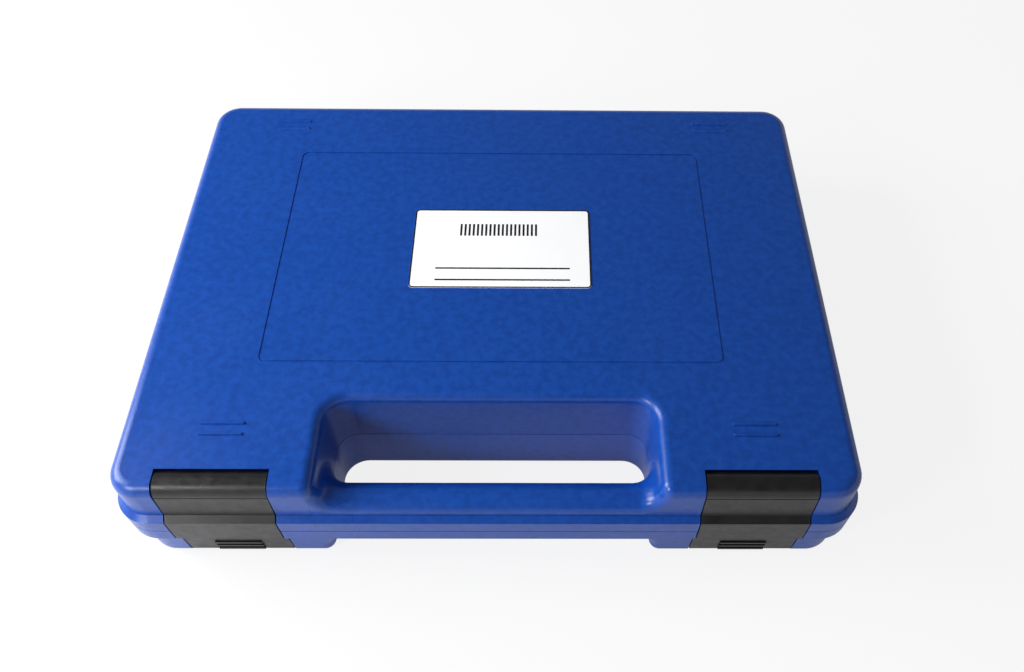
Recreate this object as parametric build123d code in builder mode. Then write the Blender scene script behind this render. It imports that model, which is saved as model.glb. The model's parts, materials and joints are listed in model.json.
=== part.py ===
"""Portable whiteness meter in its moulded carrying case.

Millimetres, +X right, -Y front, +Z up. The origin is on the flat face that the
closed case rests on, under the middle of its shell.
"""
import os
from math import radians, tan

from build123d import *

# Case shells, seen from above
case_width = 300.0
case_depth = 225.0
base_height = 31.0
lid_height = 29.0
shell_wall = 2.5
draft_angle = 2.5
corner_radius = 12.0
edge_radius = 5.2
parting_gap = 0.4

# Flange that runs round the parting plane
flange_reach = 3.65
flange_height = 7.4
shoulder_height = 2.2
shoulder_angle = 50.0

# Lip on the base's rim, which stands in a rebate of the lid and keeps dust out
lip_thickness = 1.0
lip_height = 1.8
lip_clearance = 0.3

# Hand hole and the bar in front of it, measured back from the front wall
hole_half_width = 67.8
hole_rear = 42.1
hole_corner = 9.0
bar_depth = 16.0
bar_crown = 6.0
bar_height = 15.0
bar_fillet = 9.0
rim_fillet = 4.5
bar_wall = 3.0
hole_run_out = 20.0

# Snap latches, hung on pins in the lid
latch_inset = 41.1
latch_width = 44.6
latch_gap = 0.5
latch_pin_diameter = 2.5
latch_pin_inset = 6.0
latch_head_radius = 5.9
latch_pocket_radius = 7.05
pocket_edge = 0.5
latch_inner = 2.2
latch_bottom = 3.0
hook_reach = 0.8
hook_height = 3.0
catch_height = 3.0
catch_clearance = 0.3
catch_overlap = 1.0
recess_depth = 4.5
grip_ribs = 3
grip_rib_length = 20.0
grip_rib_pitch = 3.35
grip_rib_offset = 2.6
grip_rib_height = 1.2
grip_rib_proud = 0.6

# Hinge behind the rear flange
hinge_inset = 65.0
hinge_length = 44.0
hinge_lid_knuckle = 20.0
hinge_radius = 4.0
hinge_standoff = 4.5
hinge_web = 4.0
knuckle_gap = 0.4
hinge_pin_diameter = 3.0
pin_clearance = 0.05
pin_chamfer = 0.3

# Marks on the lid: a sunk line, four pairs of stacking ribs and the label
panel_side = 50.2
panel_front = 61.1
panel_back = 36.5
panel_corner = 3.0
groove_width = 0.9
groove_depth = 0.35
rib_inset = 41.4
rib_length = 18.0
rib_width = 1.3
rib_pitch = 5.0
rib_height = 0.8
rib_draft = 20.0
rib_front = 28.1
rib_back = 16.1
rib_fit = 0.4
label_width = 83.5
label_height = 48.0
label_corner = 2.0
label_thickness = 0.25
label_x = 2.2
label_shift = 0.6

# Foam
foam_fit = 0.6
floor_foam = 4.0
insert_foam = 23.8
lid_foam_thickness = 10.0

# Handheld meter, lying face up in the foam
meter_x = -50.0
meter_y = 20.0
meter_length = 150.0
meter_width = 74.0
meter_depth = 39.0
grip_width = 62.0
head_length = 72.0
head_overlap = 22.0
meter_corner = 14.0
split_height = 20.0
housing_wall = 2.2
housing_edge = 2.0
pocket_fit = 0.4
finger_notch = 13.0
finger_reach = 8.0
notch_from_front = 40.0
finger_slot_inset = 10.0
finger_slot_corner = 4.0

# Face of the meter
faceplate_thickness = 0.6
faceplate_width = 54.0
faceplate_margin = 13.0
faceplate_foot = 29.0
faceplate_corner = 6.0
window_width = 46.0
window_length = 26.0
window_corner = 2.0
window_inset = 35.0
window_thickness = 1.6
lcd_thickness = 3.4
lcd_margin = 2.0
board_thickness = 1.6
board_width = 52.0
board_end = 13.0
board_corner = 3.0
dome_radius = 2.5
dome_height = 0.5
fit = 0.1

# Keys
key_travel = 0.8
key_proud = 0.9
key_gap = 0.2
key_flange = 1.0
key_flange_height = 1.0
key_chamfer = 0.6
key_stem_radius = 2.0
small_key_radius = 4.8
small_key_pitch = 15.0
small_key_drop = 28.0
measure_key_width = 26.0
measure_key_length = 13.0
measure_key_drop = 52.0

# Optical head under the display
sphere_radius = 14.4
sphere_standoff = 0.4
sphere_wall = 2.0
sphere_flange = 3.0
sphere_flange_height = 1.5
port_radius = 7.0
aperture_radius = 14.0
aperture_lip = 1.2
glass_radius = 9.0
glass_thickness = 1.0
detector_radius = 4.6
detector_length = 5.0
lamp_count = 6
lamp_side = 2.8
lamp_height = 1.2
lamp_board_thickness = 1.0
lamp_board_reach = 4.0
lamp_board_gap = 0.3

# Batteries in the grip
cell_radius = 5.15
cell_length = 44.5
cell_count = 4
cell_pitch = 10.6
cell_inset = 39.0
cell_play = 0.2
terminal_radius = 1.9
terminal_length = 1.0
tray_wall = 1.2
contact_thickness = 0.4
cover_width = 48.0
cover_length = 52.0
cover_corner = 3.0
cover_fit = 0.2
thumb_grooves = 4
thumb_groove_length = 16.0
thumb_groove_width = 1.2
thumb_groove_pitch = 2.5
thumb_groove_inset = 6.0

# Screws that close the meter
screw_x = 24.0
screw_inset = 9.0
screw_sink = 1.0
screw_radius = 1.5
screw_head_radius = 2.8
screw_head_height = 1.8
screw_length = 16.0
screw_end_room = 0.5
boss_radius = 4.0

# Calibration tile and light trap
tile_x = 76.0
tile_y = 62.0
tile_radius = 25.0
tile_thickness = 6.0
tile_chamfer = 0.5
holder_wall = 3.0
holder_floor = 4.0
holder_rim = 2.0
cap_wall = 2.0
cap_skirt = 7.0
cap_chamfer = 1.0
cap_grooves = 10
cap_groove_radius = 1.2
trap_x = 76.0
trap_y = -14.0
trap_radius = 21.0
trap_height = 17.0
trap_mouth = 12.0
trap_tip = 1.0

# Levels and places that follow from the sizes above
slope = tan(radians(draft_angle))
case_top = base_height + lid_height
base_rim = base_height - parting_gap
front_y = -case_depth / 2
rear_y = case_depth / 2
flange_front = front_y - flange_reach
latch_x = case_width / 2 - latch_inset
hinge_x = case_width / 2 - hinge_inset
rib_x = case_width / 2 - rib_inset
rib_rows = (front_y + rib_front, rear_y - rib_back)
panel_half_width = case_width / 2 - panel_side
panel_length = case_depth - panel_front - panel_back
panel_y = front_y + panel_front + panel_length / 2
hinge_y = rear_y + flange_reach + hinge_standoff
hinge_z = base_height - parting_gap / 2
latch_pin_y = front_y + latch_pin_inset
latch_pin_z = case_top - latch_pin_inset
foam_level = shell_wall + floor_foam
lid_foam_level = case_top - shell_wall - lid_foam_thickness
meter_top = foam_level + meter_depth
meter_split = foam_level + split_height
sphere_z = foam_level + housing_wall + sphere_standoff + sphere_radius
window_level = meter_top - window_thickness
lcd_level = window_level - lcd_thickness - fit
board_level = lcd_level - board_thickness
display_y = meter_y + meter_length / 2 - window_inset
cell_y = meter_y - meter_length / 2 + cell_inset

os.makedirs("parts", exist_ok=True)


def save(part, name):
    """Label one finished piece and write it under its own name."""
    part.label = name
    export_step(part, "parts/" + name + ".step")


def case_outline(grow):
    """Rounded outline of the case, grown on every side."""
    RectangleRounded(case_width + 2 * grow, case_depth + 2 * grow, corner_radius + grow)


def notch_outline(grow, mode):
    """Plan of the hand hole, open to the front, grown on every side."""
    with Locations((0, front_y + (hole_rear - hole_run_out) / 2)):
        RectangleRounded(
            2 * (hole_half_width + grow),
            hole_rear + hole_run_out + 2 * grow,
            hole_corner + grow,
            mode=mode,
        )


def shell_half(height):
    """One half of the case, standing on the parting plane with its outer face up."""
    with BuildPart() as void:
        with BuildSketch():
            notch_outline(0, Mode.ADD)
        extrude(amount=height + 1, taper=-draft_angle)
        # The bar stays: its back is a quarter ellipse, upright at the parting plane
        with BuildSketch(Plane.YZ.offset(-case_width / 2)):
            with BuildLine():
                face = Line((front_y - case_depth, 0), (front_y - case_depth, bar_height))
                crown = Line(face @ 1, (front_y + bar_crown, bar_height))
                back = EllipticalCenterArc(
                    (front_y + bar_crown, 0),
                    bar_depth - bar_crown,
                    bar_height,
                    start_angle=0,
                    arc_size=90,
                )
                Line(back @ 0, face @ 0)
            make_face()
        extrude(amount=case_width, mode=Mode.SUBTRACT)
    with BuildPart() as half:
        with BuildSketch():
            case_outline(height * slope)
        extrude(amount=height, taper=draft_angle)
        fillet(half.faces().sort_by(Axis.Z)[-1].edges(), edge_radius)
        with BuildSketch():
            case_outline(flange_reach)
        extrude(amount=flange_height)
        with BuildSketch(Plane.XY.offset(flange_height)):
            case_outline(flange_reach)
        extrude(amount=shoulder_height, taper=shoulder_angle)
        add(void.part, mode=Mode.SUBTRACT)
        # Concave roots where the bar runs into the lobes
        near_bar = half.edges().filter_by(
            lambda e: abs(e.center().X) > hole_half_width - 2
            and abs(e.center().X) < hole_half_width + 4
            and e.center().Y < front_y + bar_depth
            and abs(e.bounding_box().max.Z - bar_height) < 0.05
            and e.bounding_box().size.Y > 2
        )
        fillet(near_bar, bar_fillet)
        # Rounded rim of the hole, and the front edge that dips down to the bar
        rim = half.edges().filter_by(
            lambda e: abs(e.center().X) < hole_half_width + 4
            and e.bounding_box().min.Z > height - 0.05
        )
        dip = half.edges().filter_by(
            lambda e: abs(e.center().X) < hole_half_width + 4
            and e.center().Y < front_y + bar_crown - 2
            and e.bounding_box().min.Z > flange_height + shoulder_height + 0.5
            and e.bounding_box().max.Z > bar_height - 0.1
        )
        fillet(rim + dip, rim_fillet)
        # Hollow side, open at the parting plane
        with BuildSketch():
            case_outline(height * slope - shell_wall)
            notch_outline(shell_wall, Mode.SUBTRACT)
        extrude(amount=height - shell_wall, taper=draft_angle, mode=Mode.SUBTRACT)
        # The bar is a channel too
        channel_depth = bar_depth - 2 * bar_wall
        with BuildSketch():
            with Locations((0, front_y + bar_depth / 2)):
                RectangleRounded(2 * (hole_half_width - bar_fillet), channel_depth, bar_wall)
        extrude(amount=bar_height - bar_wall, taper=draft_angle, mode=Mode.SUBTRACT)
    return half.part


def rim_area(height, reach):
    """Area inside the walls at the rim, grown into them by reach."""
    with BuildSketch() as area:
        case_outline(height * slope - shell_wall + reach)
        notch_outline(shell_wall - reach, Mode.SUBTRACT)
    return area.sketch


def cross_section(centre, length):
    """Side-view plane where a piece of this length along X begins."""
    return Plane.YZ.offset(centre - length / 2)


# Base shell: the lower half turned over, with its rim just under the parting plane
base_blank = Pos(0, 0, base_rim) * mirror(shell_half(base_rim), about=Plane.XY)
with BuildPart() as base_shell:
    add(base_blank)
    with BuildSketch(Plane.XY.offset(base_rim)):
        add(rim_area(base_rim, lip_thickness))
        add(rim_area(base_rim, 0), mode=Mode.SUBTRACT)
    extrude(amount=lip_height)
    # Latch recesses with a backing wall and a catch ridge for the hook
    catch_face = latch_inner + hook_reach + catch_clearance
    hook_top = base_rim - flange_height - shoulder_height + hook_height / 2
    for x in (-latch_x, latch_x):
        with Locations((x, front_y + (recess_depth + shell_wall) / 2, (edge_radius + base_rim) / 2)):
            Box(
                latch_width + 2 * (latch_gap + shell_wall),
                recess_depth + shell_wall,
                base_rim - edge_radius,
            )
        with Locations((x, front_y, base_rim / 2)):
            Box(
                latch_width + 2 * latch_gap,
                2 * recess_depth,
                base_rim + 2 * (lip_height + lip_clearance),
                mode=Mode.SUBTRACT,
            )
        catch_z = hook_top + catch_overlap + catch_height / 2
        with Locations((x, front_y + (recess_depth + catch_face) / 2, catch_z)):
            Box(latch_width + 2 * latch_gap, recess_depth - catch_face, catch_height)
    # Knuckles at the ends of each hinge
    side_length = (hinge_length - hinge_lid_knuckle) / 2 - knuckle_gap
    for x in (-hinge_x, hinge_x):
        for end in (-1, 1):
            centre = x + end * (hinge_length - side_length) / 2
            with BuildSketch(cross_section(centre, side_length)):
                with Locations((hinge_y, hinge_z)):
                    Circle(hinge_radius)
                with Locations((hinge_y - hinge_standoff, base_rim - hinge_web)):
                    Rectangle(hinge_standoff, hinge_web, align=(Align.MIN, Align.MIN))
            extrude(amount=side_length)
        with BuildSketch(cross_section(x, hinge_length + 2)):
            with Locations((hinge_y, hinge_z)):
                Circle(hinge_pin_diameter / 2 + pin_clearance)
        extrude(amount=hinge_length + 2, mode=Mode.SUBTRACT)
    # Grooves under the base take the ribs of a case stacked below
    for x in (-rib_x, rib_x):
        for row in rib_rows:
            for step in (-rib_pitch / 2, rib_pitch / 2):
                with BuildSketch():
                    with Locations((x, row + step)):
                        Rectangle(rib_length + 2 * rib_fit, rib_width + 2 * rib_fit)
                extrude(amount=rib_height + rib_fit, mode=Mode.SUBTRACT)
save(base_shell.part, "base_shell")

# Lid shell
lid_blank = Pos(0, 0, base_height) * shell_half(lid_height)
with BuildPart() as lid_shell:
    add(lid_blank)
    # Pocket for the round head of each latch, and the strip below it
    for x in (-latch_x, latch_x):
        outer_length = latch_width + 2 * (latch_gap + shell_wall)
        skin = shell_wall / 2
        back = latch_pin_y + latch_pocket_radius + shell_wall
        with BuildSketch(cross_section(x, outer_length)):
            with Locations((latch_pin_y, latch_pin_z)):
                Circle(latch_pocket_radius + shell_wall)
            with Locations((front_y, base_height)):
                Rectangle(
                    latch_inner + latch_gap + shell_wall,
                    lid_height - shell_wall,
                    align=(Align.MIN, Align.MIN),
                )
            # Kept inside the skin of the lid, round its top edge too
            with BuildLine():
                over = Line((back, case_top - skin), (front_y + edge_radius, case_top - skin))
                round_edge = RadiusArc(over @ 1, (front_y + skin, case_top - edge_radius), skin - edge_radius)
                down = Line(round_edge @ 1, (front_y + skin, base_height))
                under = Line(down @ 1, (back, base_height))
                Line(under @ 1, over @ 0)
            make_face(mode=Mode.INTERSECT)
        extrude(amount=outer_length)
        inner_length = latch_width + 2 * latch_gap
        with BuildSketch(cross_section(x, inner_length)):
            with Locations((latch_pin_y, latch_pin_z)):
                Circle(latch_pocket_radius)
            with Locations((front_y - corner_radius, base_height)):
                Rectangle(
                    corner_radius + latch_inner + latch_gap,
                    lid_height + 1,
                    align=(Align.MIN, Align.MIN),
                )
            with Locations((front_y - corner_radius, latch_pin_z)):
                Rectangle(corner_radius + latch_pin_inset, lid_height, align=(Align.MIN, Align.MIN))
        extrude(amount=inner_length, mode=Mode.SUBTRACT)
        with BuildSketch(cross_section(x, outer_length - shell_wall)):
            with Locations((latch_pin_y, latch_pin_z)):
                Circle(latch_pin_diameter / 2 + pin_clearance)
        extrude(amount=outer_length - shell_wall, mode=Mode.SUBTRACT)
    # The thin edge of the lid over each latch head is broken
    pocket_edges = lid_shell.edges().filter_by(Axis.X).filter_by(
        lambda e: abs(e.length - inner_length) < 0.01
        and e.center().Y > latch_pin_y
        and e.center().Z > case_top - 0.01
    )
    chamfer(pocket_edges, pocket_edge)
    # Rebate for the lip of the base
    with BuildSketch(Plane.XY.offset(base_height)):
        add(rim_area(lid_height, lip_thickness + lip_clearance))
        add(rim_area(lid_height, -lip_clearance), mode=Mode.SUBTRACT)
    extrude(amount=lip_height, mode=Mode.SUBTRACT)
    # Middle knuckle of each hinge
    for x in (-hinge_x, hinge_x):
        with BuildSketch(cross_section(x, hinge_lid_knuckle)):
            with Locations((hinge_y, hinge_z)):
                Circle(hinge_radius)
            with Locations((hinge_y - hinge_standoff, base_height)):
                Rectangle(hinge_standoff, hinge_web, align=(Align.MIN, Align.MIN))
            with Locations((hinge_y, hinge_z)):
                Circle(hinge_pin_diameter / 2 + pin_clearance, mode=Mode.SUBTRACT)
        extrude(amount=hinge_lid_knuckle)
    # Sunk line round the label's panel
    with BuildSketch(Plane.XY.offset(case_top - groove_depth)):
        with Locations((0, panel_y)):
            RectangleRounded(
                2 * panel_half_width + groove_width,
                panel_length + groove_width,
                panel_corner + groove_width / 2,
            )
            RectangleRounded(
                2 * panel_half_width - groove_width,
                panel_length - groove_width,
                panel_corner - groove_width / 2,
                mode=Mode.SUBTRACT,
            )
    extrude(amount=groove_depth + 1, mode=Mode.SUBTRACT)
    # Stacking ribs
    for x in (-rib_x, rib_x):
        for row in rib_rows:
            for step in (-rib_pitch / 2, rib_pitch / 2):
                with BuildSketch(Plane.XY.offset(case_top)):
                    with Locations((x, row + step)):
                        Rectangle(rib_length, rib_width)
                extrude(amount=rib_height, taper=rib_draft)
save(lid_shell.part, "lid_shell")


def latch_part(x):
    """Snap latch: its face follows the case, its round head turns on the pin."""
    lid_foot = base_height + flange_height + shoulder_height
    base_foot = base_rim - flange_height - shoulder_height
    back = front_y + latch_pocket_radius + latch_pin_inset + 1
    with BuildPart() as latch:
        with BuildSketch(cross_section(x, latch_width)):
            with Locations((latch_pin_y, latch_pin_z)):
                Circle(latch_head_radius)
            with Locations((flange_front - 1, latch_bottom)):
                Rectangle(
                    flange_reach + 1 + latch_inner,
                    latch_pin_z - latch_bottom,
                    align=(Align.MIN, Align.MIN),
                )
            with Locations((front_y + latch_inner, hook_bottom)):
                Rectangle(hook_reach, hook_height, align=(Align.MIN, Align.MIN))
            with BuildLine():
                top = Line((back, case_top), (front_y + edge_radius, case_top))
                bend = RadiusArc(top @ 1, (front_y, case_top - edge_radius), -edge_radius)
                wall = Line(bend @ 1, (front_y - (lid_height - flange_height) * slope, lid_foot))
                shoulder = Line(wall @ 1, (flange_front, base_height + flange_height))
                rim_face = Line(shoulder @ 1, (flange_front, base_rim - flange_height))
                undercut = Line(rim_face @ 1, (front_y - base_foot * slope, base_foot))
                grip = Line(undercut @ 1, (front_y, latch_bottom + 1))
                toe = Line(grip @ 1, (front_y + 1, latch_bottom))
                sole = Line(toe @ 1, (back, latch_bottom))
                Line(sole @ 1, top @ 0)
            make_face(mode=Mode.INTERSECT)
            with Locations((latch_pin_y, latch_pin_z)):
                Circle(latch_pin_diameter / 2 + pin_clearance, mode=Mode.SUBTRACT)
        extrude(amount=latch_width)
        # Ribs for the finger tips
        for row in range(grip_ribs):
            height = latch_bottom + grip_rib_offset + row * grip_rib_pitch
            with Locations((x, front_y - height * slope, height)):
                Box(grip_rib_length, 2 * grip_rib_proud, grip_rib_height)
    return latch.part


hook_bottom = hook_top - hook_height
for side, x in (("left", -latch_x), ("right", latch_x)):
    save(latch_part(x), "latch_" + side)

pin_length = latch_width + 2 * latch_gap + shell_wall - 2 * fit
for side, x in (("left", -latch_x), ("right", latch_x)):
    with BuildPart() as latch_pin:
        with BuildSketch(cross_section(x, pin_length)):
            with Locations((latch_pin_y, latch_pin_z)):
                Circle(latch_pin_diameter / 2)
        extrude(amount=pin_length)
        chamfer(latch_pin.edges().filter_by(GeomType.CIRCLE), pin_chamfer)
    save(latch_pin.part, "latch_pin_" + side)

for side, x in (("left", -hinge_x), ("right", hinge_x)):
    with BuildPart() as hinge_pin:
        with BuildSketch(cross_section(x, hinge_length)):
            with Locations((hinge_y, hinge_z)):
                Circle(hinge_pin_diameter / 2)
        extrude(amount=hinge_length)
        chamfer(hinge_pin.edges().filter_by(GeomType.CIRCLE), pin_chamfer)
    save(hinge_pin.part, "hinge_pin_" + side)

with BuildPart() as label:
    with BuildSketch(Plane.XY.offset(case_top)):
        with Locations((label_x, panel_y + label_shift)):
            RectangleRounded(label_width, label_height, label_corner)
    extrude(amount=label_thickness)
save(label.part, "label")


def foam_outline(front_inset):
    """Outline of a foam layer that lies in the base or the lid."""
    left = -case_width / 2 + shell_wall + foam_fit
    low = front_y + front_inset
    high = rear_y - shell_wall - foam_fit
    with Locations((0, (low + high) / 2)):
        RectangleRounded(-2 * left, high - low, corner_radius - shell_wall)
    notch_outline(shell_wall + foam_fit + base_height * slope, Mode.SUBTRACT)


def meter_outline(grow):
    """Plan of the handheld meter: a wide head on a narrower grip."""
    with Locations((meter_x, meter_y + (meter_length - head_length) / 2)):
        RectangleRounded(meter_width + 2 * grow, head_length + 2 * grow, meter_corner + grow)
    grip_length = meter_length - head_length + head_overlap
    with Locations((meter_x, meter_y - (meter_length - grip_length) / 2)):
        RectangleRounded(grip_width + 2 * grow, grip_length + 2 * grow, meter_corner + grow)


base_foam_inset = recess_depth + shell_wall + foam_fit
with BuildPart() as foam_floor_sheet:
    with BuildSketch(Plane.XY.offset(shell_wall)):
        foam_outline(base_foam_inset)
    extrude(amount=floor_foam)
save(foam_floor_sheet.part, "foam_floor_sheet")

holder_radius = tile_radius + fit + holder_wall
cap_radius = holder_radius + fit + cap_wall
trap_cap_radius = trap_radius + fit + cap_wall
with BuildPart() as foam_insert:
    with BuildSketch(Plane.XY.offset(foam_level)):
        foam_outline(base_foam_inset)
    extrude(amount=insert_foam)
    # Die-cut pockets with notches for the finger tips
    with BuildSketch(Plane.XY.offset(foam_level)):
        meter_outline(pocket_fit)
        notch_y = meter_y - meter_length / 2 + notch_from_front
        for end in (-1, 1):
            with Locations((meter_x + end * (grip_width / 2 + finger_reach - finger_notch / 2), notch_y)):
                Circle(finger_notch)
        with Locations((tile_x, tile_y)):
            Circle(cap_radius + pocket_fit)
        with Locations((trap_x, trap_y)):
            Circle(trap_cap_radius + pocket_fit)
        with Locations((tile_x, (tile_y + trap_y) / 2)):
            slot_length = abs(tile_y - trap_y) - 2 * finger_slot_inset
            RectangleRounded(2 * finger_notch, slot_length, finger_slot_corner)
    extrude(amount=insert_foam, mode=Mode.SUBTRACT)
save(foam_insert.part, "foam_insert")

lid_foam_inset = latch_pin_inset + latch_pocket_radius + shell_wall + foam_fit
with BuildPart() as lid_foam:
    with BuildSketch(Plane.XY.offset(lid_foam_level)):
        foam_outline(lid_foam_inset)
    extrude(amount=lid_foam_thickness)
save(lid_foam.part, "lid_foam")

screw_y = meter_length / 2 - screw_inset
screw_places = [(meter_x + x, meter_y + y) for x in (-screw_x, screw_x) for y in (-screw_y, screw_y)]
screw_bottom = foam_level + screw_sink
screw_seat = screw_bottom + screw_head_height

with BuildPart() as meter_rear_housing:
    with BuildSketch(Plane.XY.offset(foam_level)):
        meter_outline(0)
    extrude(amount=split_height)
    chamfer(meter_rear_housing.faces().sort_by(Axis.Z)[0].edges(), housing_edge)
    with BuildSketch(Plane.XY.offset(foam_level + housing_wall)):
        meter_outline(-housing_wall)
    extrude(amount=split_height, mode=Mode.SUBTRACT)
    # Screw columns
    with BuildSketch(Plane.XY.offset(foam_level + housing_wall)):
        with Locations(*screw_places):
            Circle(boss_radius)
    extrude(amount=split_height - housing_wall)
    with BuildSketch(Plane.XY.offset(foam_level)):
        with Locations(*screw_places):
            Circle(screw_radius + fit)
    extrude(amount=split_height, mode=Mode.SUBTRACT)
    with BuildSketch(Plane.XY.offset(foam_level)):
        with Locations(*screw_places):
            Circle(screw_head_radius + fit)
    extrude(amount=screw_seat - foam_level, mode=Mode.SUBTRACT)
    # Openings for the measuring aperture and the battery cover
    with BuildSketch(Plane.XY.offset(foam_level)):
        with Locations((meter_x, display_y)):
            Circle(aperture_radius + fit)
        with Locations((meter_x, cell_y)):
            RectangleRounded(cover_width + 2 * cover_fit, cover_length + 2 * cover_fit, cover_corner)
    extrude(amount=housing_wall, mode=Mode.SUBTRACT)
save(meter_rear_housing.part, "meter_rear_housing")

small_key_y = display_y - small_key_drop
key_places = {
    "power_key": (meter_x - small_key_pitch, small_key_y),
    "zero_key": (meter_x, small_key_y),
    "mode_key": (meter_x + small_key_pitch, small_key_y),
    "measure_key": (meter_x, display_y - measure_key_drop),
}


def key_outline(name, grow, mode=Mode.ADD):
    """Plan of a key's cap, grown on every side."""
    with Locations(key_places[name]):
        if name == "measure_key":
            SlotOverall(measure_key_width + 2 * grow, measure_key_length + 2 * grow, mode=mode)
        else:
            Circle(small_key_radius + grow, mode=mode)


def window_outline(grow, mode=Mode.ADD):
    """Plan of the display window, grown on every side."""
    with Locations((meter_x, display_y)):
        RectangleRounded(window_width + 2 * grow, window_length + 2 * grow, window_corner, mode=mode)


faceplate_length = meter_length - faceplate_margin - faceplate_foot
faceplate_y = meter_y + (faceplate_foot - faceplate_margin) / 2


def faceplate_outline(grow):
    """Plan of the printed faceplate, grown on every side."""
    with Locations((meter_x, faceplate_y)):
        RectangleRounded(faceplate_width + 2 * grow, faceplate_length + 2 * grow, faceplate_corner)


with BuildPart() as meter_front_housing:
    with BuildSketch(Plane.XY.offset(meter_split)):
        meter_outline(0)
    extrude(amount=meter_top - meter_split)
    chamfer(meter_front_housing.faces().sort_by(Axis.Z)[-1].edges(), housing_edge)
    with BuildSketch(Plane.XY.offset(meter_split)):
        meter_outline(-housing_wall)
    extrude(amount=meter_top - meter_split - housing_wall, mode=Mode.SUBTRACT)
    with BuildSketch(Plane.XY.offset(meter_split)):
        with Locations(*screw_places):
            Circle(boss_radius)
    extrude(amount=meter_top - meter_split - housing_wall)
    with BuildSketch(Plane.XY.offset(meter_split)):
        with Locations(*screw_places):
            Circle(screw_radius + fit)
    extrude(amount=screw_bottom + screw_length + screw_end_room - meter_split, mode=Mode.SUBTRACT)
    # Bed for the faceplate, and the openings behind it
    with BuildSketch(Plane.XY.offset(meter_top - faceplate_thickness)):
        faceplate_outline(fit)
    extrude(amount=faceplate_thickness, mode=Mode.SUBTRACT)
    with BuildSketch(Plane.XY.offset(meter_top - housing_wall)):
        window_outline(fit)
        for name in key_places:
            key_outline(name, key_gap)
    extrude(amount=housing_wall, mode=Mode.SUBTRACT)
save(meter_front_housing.part, "meter_front_housing")

with BuildPart() as meter_faceplate:
    with BuildSketch(Plane.XY.offset(meter_top - faceplate_thickness)):
        faceplate_outline(0)
        window_outline(fit, Mode.SUBTRACT)
        for name in key_places:
            key_outline(name, key_gap, Mode.SUBTRACT)
    extrude(amount=faceplate_thickness)
save(meter_faceplate.part, "meter_faceplate")

with BuildPart() as display_window:
    with BuildSketch(Plane.XY.offset(window_level)):
        window_outline(0)
    extrude(amount=window_thickness)
save(display_window.part, "display_window")

with BuildPart() as lcd_module:
    with BuildSketch(Plane.XY.offset(lcd_level)):
        with Locations((meter_x, display_y)):
            Rectangle(window_width - 2 * lcd_margin, window_length - 2 * lcd_margin)
    extrude(amount=lcd_thickness)
save(lcd_module.part, "lcd_module")

with BuildPart() as main_board:
    with BuildSketch(Plane.XY.offset(board_level)):
        with Locations((meter_x, meter_y)):
            RectangleRounded(board_width, meter_length - 2 * board_end, board_corner)
        with Locations(*screw_places):
            Circle(boss_radius + 2 * fit, mode=Mode.SUBTRACT)
    extrude(amount=board_thickness)
    # Switch domes under the keys
    for name in key_places:
        with BuildSketch(Plane.XY.offset(board_level + board_thickness)):
            with Locations(key_places[name]):
                Circle(dome_radius)
        extrude(amount=dome_height)
save(main_board.part, "main_board")

key_bottom = board_level + board_thickness + dome_height + key_travel + key_gap
key_flange_top = meter_top - housing_wall - fit
for name in key_places:
    with BuildPart() as key:
        with BuildSketch(Plane.XY.offset(key_flange_top - key_flange_height)):
            key_outline(name, 0)
        extrude(amount=key_flange_height + housing_wall + fit + key_proud)
        chamfer(key.faces().sort_by(Axis.Z)[-1].edges(), key_chamfer)
        with BuildSketch(Plane.XY.offset(key_flange_top - key_flange_height)):
            key_outline(name, key_flange)
        extrude(amount=key_flange_height)
        with BuildSketch(Plane.XY.offset(key_bottom)):
            with Locations(key_places[name]):
                Circle(key_stem_radius)
        extrude(amount=key_flange_top - key_bottom)
    save(key.part, name)

with BuildPart() as battery_cover:
    with BuildSketch(Plane.XY.offset(foam_level)):
        with Locations((meter_x, cell_y)):
            RectangleRounded(cover_width, cover_length, cover_corner)
    extrude(amount=housing_wall)
    # Thumb grooves
    first_groove = cell_y + cover_length / 2 - thumb_groove_inset
    for row in range(thumb_grooves):
        with Locations((meter_x, first_groove - row * thumb_groove_pitch, foam_level)):
            Box(thumb_groove_length, thumb_groove_width, housing_wall, mode=Mode.SUBTRACT)
save(battery_cover.part, "battery_cover")

tray_width = cell_count * cell_pitch + 2 * tray_wall
tray_length = cell_length + 2 * (contact_thickness + tray_wall) + 3 * cell_play
tray_low = foam_level + housing_wall
tray_height = 2 * (cell_radius + cell_play) + tray_wall
cell_z = tray_low + cell_play + cell_radius
with BuildPart() as battery_tray:
    with BuildSketch(Plane.XY.offset(tray_low)):
        with Locations((meter_x, cell_y)):
            Rectangle(tray_width, tray_length)
    extrude(amount=tray_height)
    with BuildSketch(Plane.XY.offset(tray_low)):
        with Locations((meter_x, cell_y)):
            Rectangle(tray_width - 2 * tray_wall, tray_length - 2 * tray_wall)
    extrude(amount=tray_height - tray_wall, mode=Mode.SUBTRACT)
save(battery_tray.part, "battery_tray")

with BuildPart() as batteries:
    for index in range(cell_count):
        cell_x = meter_x + (index - (cell_count - 1) / 2) * cell_pitch
        cell_front = cell_y - cell_length / 2
        with BuildSketch(Plane.XZ.offset(-cell_front)):
            with Locations((cell_x, cell_z)):
                Circle(cell_radius)
        extrude(amount=-(cell_length - terminal_length))
        with BuildSketch(Plane.XZ.offset(-cell_front)):
            with Locations((cell_x, cell_z)):
                Circle(terminal_radius)
        extrude(amount=-cell_length)
save(batteries.part, "batteries")

with BuildPart() as battery_contacts:
    for end in (-1, 1):
        middle = cell_y + end * (cell_length / 2 + cell_play + contact_thickness / 2)
        with Locations((meter_x, middle, cell_z)):
            Box(tray_width - 2 * (tray_wall + cell_play), contact_thickness, 2 * (cell_radius - cell_play))
save(battery_contacts.part, "battery_contacts")

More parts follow.
